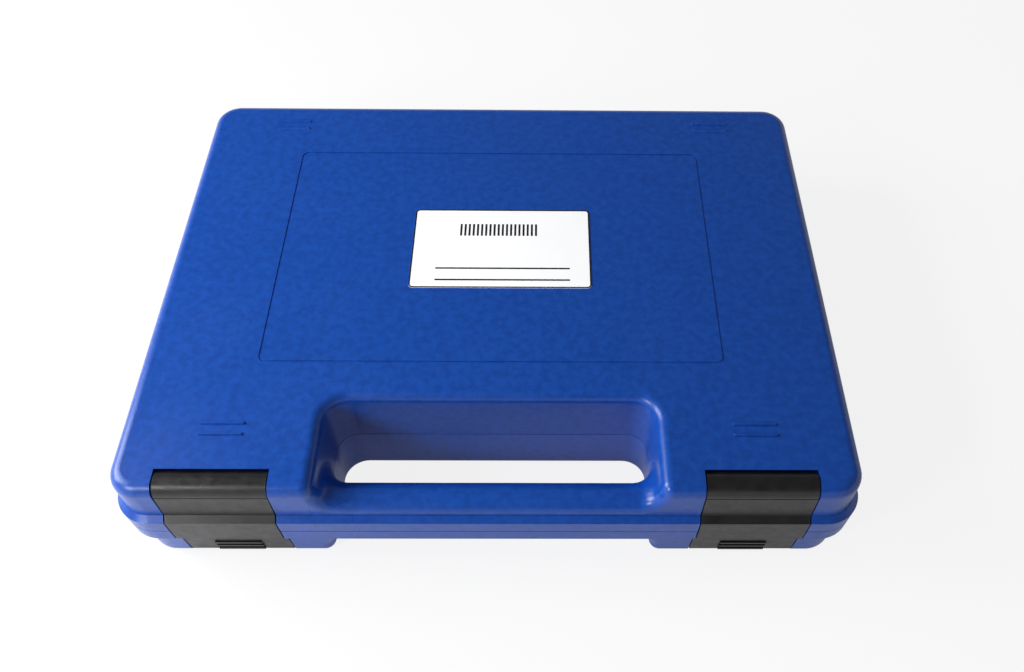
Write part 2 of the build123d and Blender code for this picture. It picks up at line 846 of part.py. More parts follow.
with BuildPart() as housing_screws:
    with BuildSketch(Plane.XY.offset(screw_bottom)):
        with Locations(*screw_places):
            Circle(screw_head_radius)
    extrude(amount=screw_head_height)
    with BuildSketch(Plane.XY.offset(screw_seat)):
        with Locations(*screw_places):
            Circle(screw_radius)
    extrude(amount=screw_length - screw_head_height)
save(housing_screws.part, "housing_screws")

head_place = (meter_x, display_y)
with BuildPart() as aperture_ring:
    with BuildSketch(Plane.XY.offset(foam_level)):
        with Locations(head_place):
            Circle(aperture_radius)
            Circle(port_radius, mode=Mode.SUBTRACT)
    extrude(amount=housing_wall)
    with BuildSketch(Plane.XY.offset(foam_level + aperture_lip)):
        with Locations(head_place):
            Circle(glass_radius + fit)
    extrude(amount=glass_thickness, mode=Mode.SUBTRACT)
save(aperture_ring.part, "aperture_ring")

with BuildPart() as dust_window:
    with BuildSketch(Plane.XY.offset(foam_level + aperture_lip)):
        with Locations(head_place):
            Circle(glass_radius)
    extrude(amount=glass_thickness - fit / 2)
save(dust_window.part, "dust_window")


def sphere_half(up):
    """Half of the integrating sphere: a round block with the hollow and its port."""
    with BuildPart() as half:
        with BuildSketch():
            Circle(sphere_radius)
        extrude(amount=sphere_radius)
        with BuildSketch():
            Circle(sphere_radius + sphere_flange)
        extrude(amount=sphere_flange_height)
        Sphere(sphere_radius - sphere_wall, mode=Mode.SUBTRACT)
        with BuildSketch():
            Circle(detector_radius + fit if up else port_radius)
        extrude(amount=sphere_radius, mode=Mode.SUBTRACT)
    if up:
        return Pos(head_place[0], head_place[1], sphere_z) * half.part
    return Pos(head_place[0], head_place[1], sphere_z) * mirror(half.part, about=Plane.XY)


save(sphere_half(True), "sphere_upper_half")
save(sphere_half(False), "sphere_lower_half")

with BuildPart() as detector:
    with BuildSketch(Plane.XY.offset(board_level - detector_length)):
        with Locations(head_place):
            Circle(detector_radius)
    extrude(amount=detector_length)
save(detector.part, "detector")

lamp_level = sphere_z + sphere_flange_height
lamp_ring_inner = sphere_radius + lamp_board_gap
lamp_ring_outer = sphere_radius + sphere_flange + lamp_board_reach
with BuildPart() as lamp_board:
    with BuildSketch(Plane.XY.offset(lamp_level)):
        with Locations(head_place):
            Circle(lamp_ring_outer)
            Circle(lamp_ring_inner, mode=Mode.SUBTRACT)
    extrude(amount=lamp_board_thickness)
    with BuildSketch(Plane.XY.offset(lamp_level + lamp_board_thickness)):
        with Locations(head_place):
            with PolarLocations((lamp_ring_inner + lamp_ring_outer) / 2, lamp_count):
                Rectangle(lamp_side, lamp_side)
    extrude(amount=lamp_height)
save(lamp_board.part, "lamp_board")

holder_height = holder_floor + tile_thickness + holder_rim
with BuildPart() as tile_holder:
    with BuildSketch(Plane.XY.offset(foam_level)):
        with Locations((tile_x, tile_y)):
            Circle(holder_radius)
    extrude(amount=holder_height)
    with BuildSketch(Plane.XY.offset(foam_level + holder_floor)):
        with Locations((tile_x, tile_y)):
            Circle(tile_radius + fit)
    extrude(amount=holder_height, mode=Mode.SUBTRACT)
save(tile_holder.part, "tile_holder")

with BuildPart() as white_tile:
    with BuildSketch(Plane.XY.offset(foam_level + holder_floor)):
        with Locations((tile_x, tile_y)):
            Circle(tile_radius)
    extrude(amount=tile_thickness)
    chamfer(white_tile.faces().sort_by(Axis.Z)[-1].edges(), tile_chamfer)
save(white_tile.part, "white_tile")


def skirted_cap(x, y, inner_radius, rim_level):
    """Lift-off cap with finger grooves round its skirt."""
    outer = inner_radius + fit + cap_wall
    with BuildPart() as cap:
        with BuildSketch(Plane.XY.offset(rim_level - cap_skirt)):
            with Locations((x, y)):
                Circle(outer)
        extrude(amount=cap_skirt + cap_wall)
        chamfer(cap.faces().sort_by(Axis.Z)[-1].edges(), cap_chamfer)
        with BuildSketch(Plane.XY.offset(rim_level - cap_skirt)):
            with Locations((x, y)):
                Circle(inner_radius + fit)
        extrude(amount=cap_skirt, mode=Mode.SUBTRACT)
        with BuildSketch(Plane.XY.offset(rim_level - cap_skirt)):
            with Locations((x, y)):
                with PolarLocations(outer + cap_groove_radius / 2, cap_grooves):
                    Circle(cap_groove_radius)
        extrude(amount=cap_skirt, mode=Mode.SUBTRACT)
    return cap.part


save(skirted_cap(tile_x, tile_y, holder_radius, foam_level + holder_height), "tile_cap")

with BuildPart() as light_trap:
    with BuildSketch(Plane.XY.offset(foam_level)):
        with Locations((trap_x, trap_y)):
            Circle(trap_radius)
    extrude(amount=trap_height)
    # Black cone that swallows the light
    with Locations((trap_x, trap_y, foam_level + trap_height)):
        Cone(
            trap_tip,
            trap_mouth,
            trap_height - holder_floor,
            align=(Align.CENTER, Align.CENTER, Align.MAX),
            mode=Mode.SUBTRACT,
        )
save(light_trap.part, "light_trap")
save(skirted_cap(trap_x, trap_y, trap_radius, foam_level + trap_height), "trap_cap")
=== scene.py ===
# %% [markdown]
# Whiteness meter in its carrying case. The case is two polypropylene shells moulded in
# one blue, closed by two black latches. Inside lie die-cut foam, a handheld meter, a
# white calibration tile and a black light trap. The shells and every hard piece come
# from the frame at their real size. This file gives them their finishes, and models
# what the frame only holds as plain blocks: the foam and the printing on the label.

# %% Load the frame
import math

import bpy
import numpy as np
from mathutils import Matrix, Vector
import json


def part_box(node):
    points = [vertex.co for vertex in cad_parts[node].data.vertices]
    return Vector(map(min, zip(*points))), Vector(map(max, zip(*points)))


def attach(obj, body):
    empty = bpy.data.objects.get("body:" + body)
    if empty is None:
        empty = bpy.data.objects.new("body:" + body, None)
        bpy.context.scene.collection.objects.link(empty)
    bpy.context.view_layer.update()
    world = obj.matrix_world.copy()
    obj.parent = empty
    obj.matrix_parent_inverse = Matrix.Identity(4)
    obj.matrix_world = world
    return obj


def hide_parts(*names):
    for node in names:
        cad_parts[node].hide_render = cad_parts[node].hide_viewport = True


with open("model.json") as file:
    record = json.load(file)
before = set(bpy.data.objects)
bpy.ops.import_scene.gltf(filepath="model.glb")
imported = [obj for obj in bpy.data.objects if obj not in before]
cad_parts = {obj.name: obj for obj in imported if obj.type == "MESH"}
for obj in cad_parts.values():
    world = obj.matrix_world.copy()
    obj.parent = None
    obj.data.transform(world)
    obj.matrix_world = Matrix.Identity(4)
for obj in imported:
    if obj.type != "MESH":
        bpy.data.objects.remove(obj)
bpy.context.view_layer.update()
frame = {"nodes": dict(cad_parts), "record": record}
MM = 0.001
scene = bpy.context.scene
scene.view_settings.view_transform = "Standard"

# %% [markdown]
# The camera comes first, because every finish is judged through it. The photograph was
# taken from above the handle, about half a metre away, looking down by 55 degrees. The
# place, the three angles and the focal length were worked out from the straight edges
# of the case. The picture is cropped a little off centre, so the lens is shifted.

# %% Camera
CAMERA_PLACE = Vector((20.6, -265.4, 382.2)) * MM
CAMERA_YAW, CAMERA_PITCH, CAMERA_ROLL = 1.268, 54.74, 1.254
FOCAL_PIXELS, CENTRE_PIXEL, IMAGE_WIDTH = 901.7, 551.8, 1024
SENSOR_WIDTH = 36.0


def camera_matrix(place, yaw, pitch, roll):
    """Where the camera stands, and its axes, from angles in degrees."""
    yaw, pitch, roll = (math.radians(angle) for angle in (yaw, pitch, roll))
    flat = math.cos(pitch)
    ahead = Vector((math.sin(yaw) * flat, math.cos(yaw) * flat, -math.sin(pitch)))
    level = Vector((math.cos(yaw), -math.sin(yaw), 0))
    above = level.cross(ahead)
    right = math.cos(roll) * level + math.sin(roll) * above
    up = math.cos(roll) * above - math.sin(roll) * level
    turned = Matrix((right, up, -ahead)).transposed().to_4x4()
    return Matrix.Translation(place) @ turned


bpy.ops.object.camera_add()
camera = bpy.context.object
camera.name = "camera"
camera.matrix_world = camera_matrix(
    CAMERA_PLACE, CAMERA_YAW, CAMERA_PITCH, CAMERA_ROLL
)
camera.data.sensor_width = SENSOR_WIDTH
camera.data.lens = FOCAL_PIXELS / IMAGE_WIDTH * SENSOR_WIDTH
camera.data.shift_x = (IMAGE_WIDTH / 2 - CENTRE_PIXEL) / IMAGE_WIDTH
camera.data.clip_start = 0.01
scene.camera = camera
print("lens", round(camera.data.lens, 2), "mm")

# %% [markdown]
# A finish is a small graph of shader nodes. Writing every node out takes many lines, so
# one helper adds a node with its settings, its values and its incoming links. Colours
# are picked as sRGB hex values, as in a paint program, and one function turns them into
# the linear values that the shader works in.

# %% Helpers for nodes


def linear(hex_colour, alpha=1.0):
    """Linear RGBA of an sRGB hex colour."""
    channels = [int(hex_colour[i : i + 2], 16) / 255 for i in (1, 3, 5)]
    return [
        c / 12.92 if c <= 0.04045 else ((c + 0.055) / 1.055) ** 2.4 for c in channels
    ] + [alpha]


def add_node(tree, kind, values=None, links=None, **settings):
    """One shader node with its settings, input values and incoming links."""
    new = tree.nodes.new(kind)
    for name, value in settings.items():
        setattr(new, name, value)
    for name, value in (values or {}).items():
        new.inputs[name].default_value = value
    for name, source in (links or {}).items():
        tree.links.new(source, new.inputs[name])
    return new


def calculate(tree, operation, first, second=None):
    """The result of a math node on two inputs, each a socket or a number."""
    new = add_node(tree, "ShaderNodeMath", operation=operation)
    for index, value in enumerate((first, second)):
        if isinstance(value, bpy.types.NodeSocket):
            tree.links.new(value, new.inputs[index])
        elif value is not None:
            new.inputs[index].default_value = value
    return new.outputs[0]


def new_material(name, **shader_values):
    """A material with one Principled shader. Underscores stand for spaces."""
    material = bpy.data.materials.new(name)
    material.use_nodes = True
    tree = material.node_tree
    shader = tree.nodes["Principled BSDF"]
    for key, value in shader_values.items():
        shader.inputs[key.replace("_", " ")].default_value = value
    return material, tree, shader


# %% [markdown]
# Nearly every finish here is the same idea: noise on the piece's own coordinates, which
# drives the colour, the roughness and the relief at scales of their own. The noise mostly
# lies between 0.25 and 0.75, so that span is what gets mapped, and it eases out at both
# ends. A hard stop there would draw the outline of every lump.

# %% Helpers for finishes
NOISE_LOW, NOISE_HIGH = 0.25, 0.75


def grain(tree, size_mm, detail=2.0, roughness=0.5, **mapping):
    """Noise whose lumps are about size_mm wide, on the piece's own coordinates."""
    place = add_node(tree, "ShaderNodeTexCoord").outputs["Object"]
    if mapping:
        mapped = add_node(tree, "ShaderNodeMapping", mapping, {"Vector": place})
        place = mapped.outputs["Vector"]
    values = {"Scale": 1 / (size_mm * MM), "Detail": detail, "Roughness": roughness}
    return add_node(tree, "ShaderNodeTexNoise", values, {"Vector": place}).outputs["Fac"]


def between(tree, factor, low, high):
    """Maps a noise to a value between low and high."""
    values = {"From Min": NOISE_LOW, "From Max": NOISE_HIGH, "To Min": low, "To Max": high}
    eased = add_node(
        tree,
        "ShaderNodeMapRange",
        values,
        {"Value": factor},
        interpolation_type="SMOOTHSTEP",
    )
    return eased.outputs["Result"]


def tint(tree, factor, first, second):
    """Blends two hex colours by a noise."""
    ramp = add_node(tree, "ShaderNodeValToRGB", links={"Fac": factor})
    ramp.color_ramp.interpolation = "EASE"
    stops = ((NOISE_LOW, first), (NOISE_HIGH, second))
    for element, (position, colour) in zip(ramp.color_ramp.elements, stops):
        element.position = position
        element.color = linear(colour)
    return ramp.outputs["Color"]


def emboss(tree, shader, height, depth_mm):
    """Relief of about depth_mm on the shader's normal."""
    values = {"Distance": depth_mm * MM, "Strength": 1.0}
    bump = add_node(tree, "ShaderNodeBump", values, {"Height": height})
    tree.links.new(bump.outputs["Normal"], shader.inputs["Normal"])


def satin(name, colour_mm, colours, gloss_mm, gloss, relief=None, **shader_values):
    """A finish whose colour and roughness each wander between two values.

    colour_mm and gloss_mm are the widths of the lumps. relief is the width of its
    lumps and its depth, both in millimetres.
    """
    material, tree, shader = new_material(name, **shader_values)
    colour = tint(tree, grain(tree, colour_mm), *colours)
    roughness = between(tree, grain(tree, gloss_mm), *gloss)
    tree.links.new(colour, shader.inputs["Base Color"])
    tree.links.new(roughness, shader.inputs["Roughness"])
    if relief:
        width_mm, depth_mm = relief
        emboss(tree, shader, grain(tree, width_mm), depth_mm)
    return material


# %% [markdown]
# The case is taken to be injection-moulded polypropylene, coloured right through, from a
# finely eroded mould that breaks the reflection up into a satin sheen. So the shader has
# a mid roughness that wanders a little, and a relief of about a hundredth of a millimetre,
# drawn coarser than a real grain, or the picture would not show it. The two blues follow
# a faint mottle in the photograph, which may come partly from its compression.

# %% Case plastic
case_plastic, tree, shader = new_material("moulded_polypropylene_blue", IOR=1.49)
mottle = grain(tree, 3.5, roughness=0.6)
tree.links.new(tint(tree, mottle, "#0B449F", "#124FB2"), shader.inputs["Base Color"])
gloss = between(tree, grain(tree, 40, detail=0), 0.27, 0.33)
tree.links.new(gloss, shader.inputs["Roughness"])
emboss(tree, shader, grain(tree, 0.9, detail=0), 0.012)

# %% [markdown]
# The latches are a stiffer black plastic from a coarser mould. Black shows mostly what
# it reflects, so the grain matters more than the colour: a stronger relief and a
# roughness that varies make the light break up as it does on the real latch.

# %% Latch plastic
latch_plastic = satin(
    "moulded_nylon_black",
    6,
    ("#131214", "#1C1A1D"),
    4,
    (0.30, 0.42),
    relief=(0.6, 0.03),
    IOR=1.53,
)
print("finishes so far:", case_plastic.name, latch_plastic.name)

# %% [markdown]
# Metals get their colour from what they reflect, so their base colour is fixed and only
# the roughness wanders. Drawn steel wire has fine streaks along its length: its noise is
# stretched along X.

# %% Metals
steel, tree, shader = new_material(
    "drawn_steel_wire", Metallic=1.0, Base_Color=linear("#B9BABD")
)
streaks = grain(tree, 0.3, Scale=(0.05, 1, 1))
tree.links.new(between(tree, streaks, 0.22, 0.38), shader.inputs["Roughness"])
emboss(tree, shader, streaks, 0.01)

contact_metal, tree, shader = new_material(
    "nickel_plate", Metallic=1.0, Base_Color=linear("#C9C2B2")
)
tree.links.new(between(tree, grain(tree, 0.8), 0.2, 0.35), shader.inputs["Roughness"])

black_metal = satin(
    "black_anodised_aluminium",
    2,
    ("#0E0E10", "#17171A"),
    0.8,
    (0.3, 0.42),
    relief=(0.3, 0.008),
    IOR=1.6,
)
print("metals:", steel.name, contact_metal.name, black_metal.name)

# %% [markdown]
# Label film is smooth with the faintest curl in its gloss, and the ink on it is dry and
# nearly black. The weak emission of the film is no property of a real label. It was
# added to lift the white in this one picture, where it clips, and it makes the label
# glow in dim light. LABEL_GLOW = 0 takes it away, and is better under any other light.

# %% Label film and ink
LABEL_GLOW = 0.25
label_film = satin(
    "white_label_film",
    12,
    ("#F8F9FA", "#FCFCFC"),
    7,
    (0.32, 0.42),
    relief=(5, 0.01),
    IOR=1.5,
    Emission_Strength=LABEL_GLOW,
    Emission_Color=linear("#F6F8FF"),
)
print_ink = satin("black_print_ink", 0.4, ("#111113", "#1B1B1E"), 2, (0.35, 0.5), IOR=1.5)
print("label:", label_film.name, print_ink.name)

# %% [markdown]
# Foam is a mass of open cells. One noise with many octaves serves for the colour, the
# roughness and the relief, so that the deep places are also the dark ones: the colour is
# painted shade, darker in the hollows of the cells and paler on their rims.

# %% Foam
foam, tree, shader = new_material("open_cell_foam_charcoal", IOR=1.4, Sheen_Weight=0.15)
cell_relief_and_shade = grain(tree, 1.1, detail=4, roughness=0.7)
# Painted shade: the colour darkens where the relief is deep, in the hollows of the cells.
tree.links.new(tint(tree, cell_relief_and_shade, "#1B1C1F", "#34363B"), shader.inputs["Base Color"])
tree.links.new(between(tree, cell_relief_and_shade, 0.85, 1.0), shader.inputs["Roughness"])
emboss(tree, shader, cell_relief_and_shade, 0.35)
print("foam:", foam.name)

# %% [markdown]
# The meter is grey ABS from a textured mould, with rubber keys that have a soft bloom.
# Behind its clear window lies the display, and inside sits a green circuit board, whose
# copper shows through the solder mask as fine mottling.

# %% The meter's plastics
meter_plastic, tree, shader = new_material("textured_abs_grey", IOR=1.53)
grey = tint(tree, grain(tree, 20), "#C9CCCC", "#D2D4D3")
tree.links.new(grey, shader.inputs["Base Color"])
tree.links.new(between(tree, grain(tree, 3), 0.42, 0.55), shader.inputs["Roughness"])
emboss(tree, shader, grain(tree, 0.45, detail=1), 0.03)

rubber = {"colour_mm": 3, "gloss_mm": 1.5, "relief": (0.4, 0.01), "IOR": 1.41}
key_rubber = satin(
    "silicone_rubber_grey", colours=("#3A3D43", "#45494F"), gloss=(0.5, 0.65), **rubber
)
measure_rubber = satin(
    "silicone_rubber_blue", colours=("#2159A8", "#2B66B6"), gloss=(0.48, 0.6), **rubber
)

abs_plastic = {"gloss_mm": 3, "gloss": (0.38, 0.5), "relief": (0.5, 0.02), "IOR": 1.53}
holder_plastic = satin(
    "moulded_abs_mid_grey", 8, ("#6E7378", "#787D82"), **abs_plastic
)
inner_plastic = satin("moulded_abs_black", 5, ("#121214", "#1D1D20"), **abs_plastic)
print("plastics:", meter_plastic.name, key_rubber.name, holder_plastic.name)

# %% Display, board and cells
lcd_glass = satin(
    "liquid_crystal_panel", 15, ("#8E9A84", "#9AA68F"), 8, (0.12, 0.2), IOR=1.52
)
cell_jacket = satin(
    "shrunk_pvc_sleeve", 6, ("#2C3036", "#3A3F47"), 4, (0.2, 0.32), IOR=1.53
)

clear_window, tree, shader = new_material(
    "clear_acrylic", IOR=1.49, Transmission_Weight=1.0, Base_Color=linear("#F4F8F8")
)
tree.links.new(between(tree, grain(tree, 10), 0.02, 0.06), shader.inputs["Roughness"])

circuit_board, tree, shader = new_material("green_solder_mask", IOR=1.5)
copper = grain(tree, 2.5, detail=4)
tree.links.new(tint(tree, copper, "#0E4A25", "#176033"), shader.inputs["Base Color"])
tree.links.new(between(tree, grain(tree, 2), 0.25, 0.4), shader.inputs["Roughness"])
emboss(tree, shader, grain(tree, 1.2), 0.03)
print("electronics:", lcd_glass.name, clear_window.name, circuit_board.name)

# %% [markdown]
# Two whites matter in a whiteness meter. The sphere is coated with barium sulphate, which
# is as matt as chalk. The calibration tile is glazed: nearly a mirror at a glance, and
# pure white below.

# %% The two whites
sphere_coating = satin(
    "barium_sulphate_coating",
    3,
    ("#F2F2EF", "#F9F9F7"),
    1,
    (0.85, 0.95),
    relief=(0.4, 0.02),
    IOR=1.5,
)
glaze = satin(
    "white_glazed_ceramic",
    9,
    ("#F3F3EE", "#F8F8F5"),
    4,
    (0.10, 0.18),
    relief=(6, 0.01),
    IOR=1.54,
    Coat_Weight=0.6,
    Coat_Roughness=0.04,
)
print("whites:", sphere_coating.name, glaze.name)

# %% [markdown]
# The faceplate of the meter is a polycarbonate film, printed on its back: a dark field
# round the display and a mid blue below it, with a thin pale line between the two. The
# print follows the plate's length, so the bands are cut by the Y coordinate.

# %% Faceplate film
faceplate_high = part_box("meter_faceplate")[1]
DARK_FIELD_LENGTH = 40 * MM
PRINT_SPLIT = faceplate_high[1] - DARK_FIELD_LENGTH
LINE_WIDTH = 0.9 * MM

faceplate_film, tree, shader = new_material("printed_polycarbonate_film", IOR=1.58)
place = add_node(tree, "ShaderNodeTexCoord").outputs["Object"]
along = add_node(tree, "ShaderNodeSeparateXYZ", links={"Vector": place}).outputs["Y"]
upper = calculate(tree, "GREATER_THAN", along, PRINT_SPLIT)
away = calculate(tree, "ABSOLUTE", calculate(tree, "SUBTRACT", along, PRINT_SPLIT))
line = calculate(tree, "LESS_THAN", away, LINE_WIDTH / 2)
field = add_node(
    tree,
    "ShaderNodeMix",
    {"A": linear("#2A5590"), "B": linear("#1A1D24")},
    {"Factor": upper},
    data_type="RGBA",
)
printed = add_node(
    tree,
    "ShaderNodeMix",
    {"B": linear("#D5D9DE")},
    {"Factor": line, "A": field.outputs["Result"]},
    data_type="RGBA",
)
tree.links.new(printed.outputs["Result"], shader.inputs["Base Color"])
tree.links.new(between(tree, grain(tree, 5), 0.22, 0.32), shader.inputs["Roughness"])
emboss(tree, shader, grain(tree, 0.5), 0.008)
print("faceplate printed up to Y", round(PRINT_SPLIT / MM, 1), "mm")

# %% [markdown]
# Each CAD node already knows its finish by name in the record. A table from that name to
# the material above dresses all of them in one loop, and nothing is moved.

# %% Dress the CAD nodes
FINISHES = {
    "case_plastic": case_plastic,
    "latch_plastic": latch_plastic,
    "steel": steel,
    "label_film": label_film,
    "foam": foam,
    "meter_plastic": meter_plastic,
    "faceplate_film": faceplate_film,
    "clear_window": clear_window,
    "lcd": lcd_glass,
    "circuit_board": circuit_board,
    "key_rubber": key_rubber,
    "measure_key_rubber": measure_rubber,
    "inner_plastic": inner_plastic,
    "cell_jacket": cell_jacket,
    "contact_metal": contact_metal,
    "black_metal": black_metal,
    "sphere_coating": sphere_coating,
    "holder_plastic": holder_plastic,
    "white_ceramic": glaze,
}
for entry in frame["record"]["subparts"]:
    mesh = frame["nodes"][entry["node"]].data
    mesh.materials.clear()
    mesh.materials.append(FINISHES[entry["material_slot"]])

# %% [markdown]
# New pieces are made with the modelling operators. An operator acts on whatever is
# selected, so each piece starts from an empty selection, and its faces are then picked
# in code by their place. A finished piece keeps its object at the origin, with its place
# in its mesh, and rides on the body that carries it.

# %% Helpers for modelling
MERGE_DISTANCE = 0.01 * MM
FLAT_ANGLE = 0.02
ANY_SHAPE = 3.1


def start_piece(name, operator, **settings):
    """Adds a primitive by its operator, alone in the selection, and names it."""
    bpy.ops.object.select_all(action="DESELECT")
    operator(**settings)
    piece = bpy.context.object
    piece.name = name
    piece.data.name = name
    return piece


def copy_of_node(name, node):
    """A merged copy of a CAD node's mesh, as a new piece."""
    piece = bpy.data.objects.new(name, frame["nodes"][node].data.copy())
    scene.collection.objects.link(piece)
    bpy.ops.object.select_all(action="DESELECT")
    piece.select_set(True)
    bpy.context.view_layer.objects.active = piece
    bpy.ops.object.mode_set(mode="EDIT")
    bpy.ops.mesh.select_all(action="SELECT")
    bpy.ops.mesh.remove_doubles(threshold=MERGE_DISTANCE)
    bpy.ops.mesh.tris_convert_to_quads(face_threshold=FLAT_ANGLE, shape_threshold=ANY_SHAPE)
    bpy.ops.mesh.dissolve_limited(angle_limit=FLAT_ANGLE)
    bpy.ops.object.mode_set(mode="OBJECT")
    return piece


def finish_piece(piece, material, body):
    """Applies the place and the modifiers, and sets finish and body."""
    bpy.ops.object.select_all(action="DESELECT")
    piece.select_set(True)
    bpy.context.view_layer.objects.active = piece
    bpy.ops.object.transform_apply(location=True, rotation=True, scale=True)
    for modifier in list(piece.modifiers):
        bpy.ops.object.modifier_apply(modifier=modifier.name)
    piece.data.materials.clear()
    piece.data.materials.append(material)
    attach(piece, body)


# %% [markdown]
# The two foam layers in the base are cut with a die. The blade leaves crisp outlines,
# but the cells at an edge let go, so no real edge is sharp. A small bevel over the copied
# outline gives that soft edge, and costs far less than sculpting one.

# %% Foam in the base
EDGE_WIDTHS = {"foam_floor_sheet": 0.5 * MM, "foam_insert": 1.0 * MM}
EDGE_SEGMENTS = 3
EDGE_ANGLE, SMOOTH_ANGLE = math.radians(50), math.radians(35)

for node, width in EDGE_WIDTHS.items():
    piece = copy_of_node(node + "_soft", node)
    bevel = piece.modifiers.new("soft_edge", "BEVEL")
    bevel.width = width
    bevel.segments = EDGE_SEGMENTS
    bevel.limit_method = "ANGLE"
    bevel.angle_limit = EDGE_ANGLE
    finish_piece(piece, foam, "root")
    bpy.ops.object.shade_smooth_by_angle(angle=SMOOTH_ANGLE)
    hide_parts(node)
    print(node, len(piece.data.polygons), "faces")

# %% [markdown]
# The pad in the lid is convoluted foam, the kind with rows of soft peaks that hold the
# meter still. It could be sculpted, but its form is a formula: one cosine along X times
# one along Y. A fine grid a little larger than the pad is given its thickness, and the
# points on the side that faces down are lifted by the formula. A Boolean with the pad's
# plain block then cuts the outline, with its round corners and the notch for the hand.

# %% Convoluted foam in the lid
pad_low, pad_high = (Vector(corner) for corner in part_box("lid_foam"))
PEAK_PITCH = 22 * MM
VALLEY_DEPTH = 5.5 * MM
GRID_STEP = 2.75 * MM
TRIM_MARGIN = 1.5 * MM
WAVE_ANGLE = math.radians(45)

pad_centre = (pad_low + pad_high) / 2
size_x = pad_high.x - pad_low.x + 2 * TRIM_MARGIN
size_y = pad_high.y - pad_low.y + 2 * TRIM_MARGIN
pad = start_piece(
    "lid_foam_convoluted",
    bpy.ops.mesh.primitive_grid_add,
    x_subdivisions=round(size_x / GRID_STEP),
    y_subdivisions=round(size_y / GRID_STEP),
    size=1,
    location=(pad_centre.x, pad_centre.y, pad_high.z + TRIM_MARGIN),
)
pad.scale = (size_x, size_y, 1)
bpy.ops.object.transform_apply(location=True, rotation=False, scale=True)
bpy.ops.object.mode_set(mode="EDIT")
bpy.ops.mesh.select_all(action="SELECT")
drop = pad_low.z - pad_high.z - TRIM_MARGIN
bpy.ops.mesh.extrude_region_move(TRANSFORM_OT_translate={"value": (0, 0, drop)})
bpy.ops.mesh.select_all(action="SELECT")
bpy.ops.mesh.normals_make_consistent(inside=False)
bpy.ops.object.mode_set(mode="OBJECT")
print("plain grid", len(pad.data.polygons), "faces")

# %% Waves and outline of the pad
points = np.empty(len(pad.data.vertices) * 3)
pad.data.vertices.foreach_get("co", points)
points = points.reshape(-1, 3)
lower = points[:, 2] < pad_centre.z
cosines = np.cos(2 * math.pi * points[lower, :2] / PEAK_PITCH)
points[lower, 2] = pad_low.z + VALLEY_DEPTH * (1 - cosines[:, 0] * cosines[:, 1]) / 2
pad.data.vertices.foreach_set("co", points.ravel())
pad.data.update()

block = copy_of_node("lid_foam_block", "lid_foam")
outline = pad.modifiers.new("outline", "BOOLEAN")
outline.operation = "INTERSECT"
outline.solver = "EXACT"
outline.object = block
finish_piece(pad, foam, "lid")
bpy.data.objects.remove(block)
bpy.ops.object.shade_smooth_by_angle(angle=WAVE_ANGLE)
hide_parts("lid_foam")
print("convoluted pad", len(pad.data.polygons), "faces")

# %% [markdown]
# The label carries plain marks in place of words: a comb of equal bars, two ruled lines
# and a thin border. They are ink, so they only need to be a hair thick. Each is a flat
# rectangle just above the film, with its corners rounded, that is then drawn out upwards.
# The border is the same rectangle with its middle cut away.

# %% One printed rectangle
label_low, label_high = (Vector(corner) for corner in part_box("label"))
label_centre = (label_low + label_high) / 2
label_width, label_height = label_high.x - label_low.x, label_high.y - label_low.y
INK_LIFT = 0.03 * MM
CORNER_SHARE, CORNER_SEGMENTS = 0.12, 6


def ink_patch(name, middle_x, middle_y, width, height, corner=None, rim=None):
    """One printed rectangle with rounded corners. With a rim, only its edge."""
    corner = corner or min(width, height) * CORNER_SHARE
    patch = start_piece(
        name,
        bpy.ops.mesh.primitive_plane_add,
        size=1,
        location=(middle_x, middle_y, label_high.z + INK_LIFT / 2),
    )
    patch.scale = (width, height, 1)
    bpy.ops.object.transform_apply(location=True, rotation=False, scale=True)
    bpy.ops.object.mode_set(mode="EDIT")
    bpy.ops.mesh.select_all(action="SELECT")
    bpy.ops.mesh.bevel(offset=corner, segments=CORNER_SEGMENTS, affect="VERTICES")
    if rim:
        bpy.ops.mesh.select_mode(type="FACE")
        bpy.ops.mesh.select_all(action="SELECT")
        bpy.ops.mesh.inset(thickness=rim)
        bpy.ops.mesh.delete(type="FACE")
        bpy.ops.mesh.select_all(action="SELECT")
    bpy.ops.mesh.extrude_region_move(TRANSFORM_OT_translate={"value": (0, 0, INK_LIFT / 2)})
    bpy.ops.mesh.select_all(action="SELECT")
    bpy.ops.mesh.normals_make_consistent(inside=False)
    bpy.ops.object.mode_set(mode="OBJECT")
    return patch


# %% [markdown]
# The bars are half as wide as their pitch, and the comb starts and ends with a bar. All
# marks are joined into one piece, which rides on the lid with the label.

# %% Printing on the label
BAR_COUNT = 19
COMB_WIDTH, COMB_HEIGHT = 36.5 * MM, 7.4 * MM
COMB_SHIFT, COMB_FROM_TOP = -1.6 * MM, 13.0 * MM
RULE_WIDTH, RULE_HEIGHT = 62.0 * MM, 0.9 * MM
RULE_SHIFT, RULES_FROM_FOOT = 0.9 * MM, (4.6 * MM, 11.4 * MM)
BORDER_WIDTH, LABEL_CORNER = 0.7 * MM, 2.0 * MM

patches = []
bar_pitch = COMB_WIDTH / (BAR_COUNT - 0.5)
bar_width = bar_pitch / 2
first_bar_x = label_centre.x + COMB_SHIFT - COMB_WIDTH / 2 + bar_width / 2
bars_y = label_high.y - COMB_FROM_TOP
for index in range(BAR_COUNT):
    bar_x = first_bar_x + index * bar_pitch
    patches.append(ink_patch("bar", bar_x, bars_y, bar_width, COMB_HEIGHT))
rules_x = label_centre.x + RULE_SHIFT
for height in RULES_FROM_FOOT:
    rule_y = label_low.y + height
    patches.append(ink_patch("rule", rules_x, rule_y, RULE_WIDTH, RULE_HEIGHT))
border = ink_patch(
    "border",
    label_centre.x,
    label_centre.y,
    label_width,
    label_height,
    corner=LABEL_CORNER,
    rim=BORDER_WIDTH,
)
patches.append(border)
bpy.ops.object.select_all(action="DESELECT")
for patch in patches:
    patch.select_set(True)
bpy.context.view_layer.objects.active = patches[0]
bpy.ops.object.join()
printing = bpy.context.object
printing.name = "label_printing"
printing.data.name = "label_printing"
finish_piece(printing, print_ink, "lid")
print("printing", len(printing.data.polygons), "faces")

